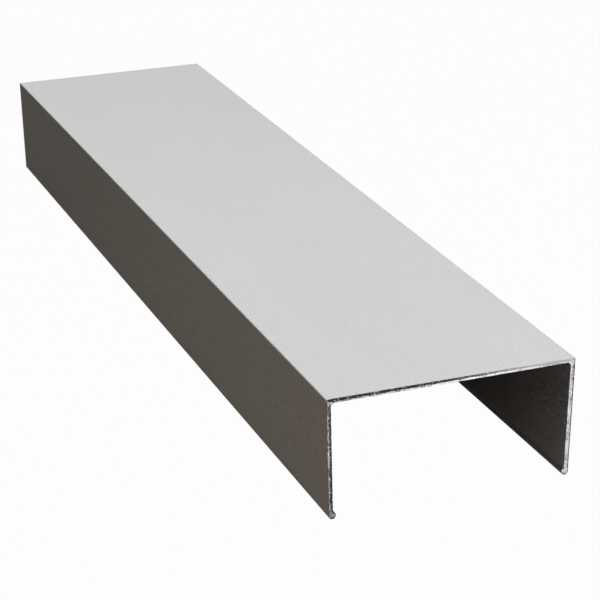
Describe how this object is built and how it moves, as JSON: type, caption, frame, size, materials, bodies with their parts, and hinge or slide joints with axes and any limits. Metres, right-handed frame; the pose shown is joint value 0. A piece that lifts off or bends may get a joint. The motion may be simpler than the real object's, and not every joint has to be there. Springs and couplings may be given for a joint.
{
  "type": "metal channel section",
  "caption": "Thin-walled U-shaped metal channel section that edges or holds a panel, with slightly toed-in flanges ending in round grip beads.",
  "frame": {"origin": "middle of the channel's footprint, level with the flange tips that it lies on", "axes": "+Y along the length, +X across the web, +Z from the flange tips up to the web"},
  "size_m": [0.052, 0.225, 0.025],
  "materials": {
    "anodised_aluminium": "matte silver anodised, with bare saw-cut ends"
  },
  "bodies": {
    "root": {"channel": "anodised_aluminium"}
  },
  "joints": []
}
